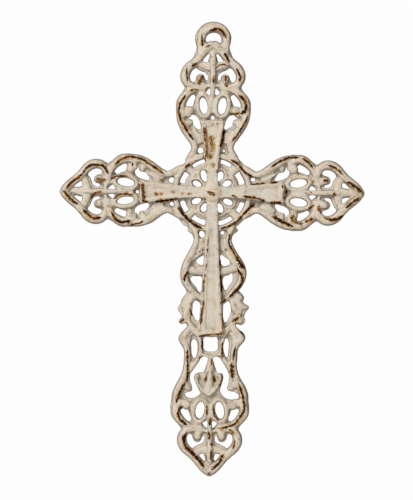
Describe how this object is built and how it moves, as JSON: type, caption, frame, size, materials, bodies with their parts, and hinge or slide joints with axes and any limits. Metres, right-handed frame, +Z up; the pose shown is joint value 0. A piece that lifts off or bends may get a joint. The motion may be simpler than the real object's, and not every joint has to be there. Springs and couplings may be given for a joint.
{
  "type": "wall cross",
  "caption": "Openwork cast iron cross with scrolled pointed ends, a wheel at the crossing, a long stem and a hanging eye, painted antique white.",
  "frame": {"origin": "where a nail or hook bears in the hanging eye, in the plane of the flat back", "axes": "+Z up as the cross hangs, +X to the viewer's right, -Y out of the front, +Y into the wall"},
  "size_m": [0.2563, 0.0115, 0.3819],
  "materials": {
    "painted_iron": "antique white paint, worn through to rust on the raised edges"
  },
  "bodies": {
    "root": {"cross": "painted_iron"}
  },
  "joints": []
}
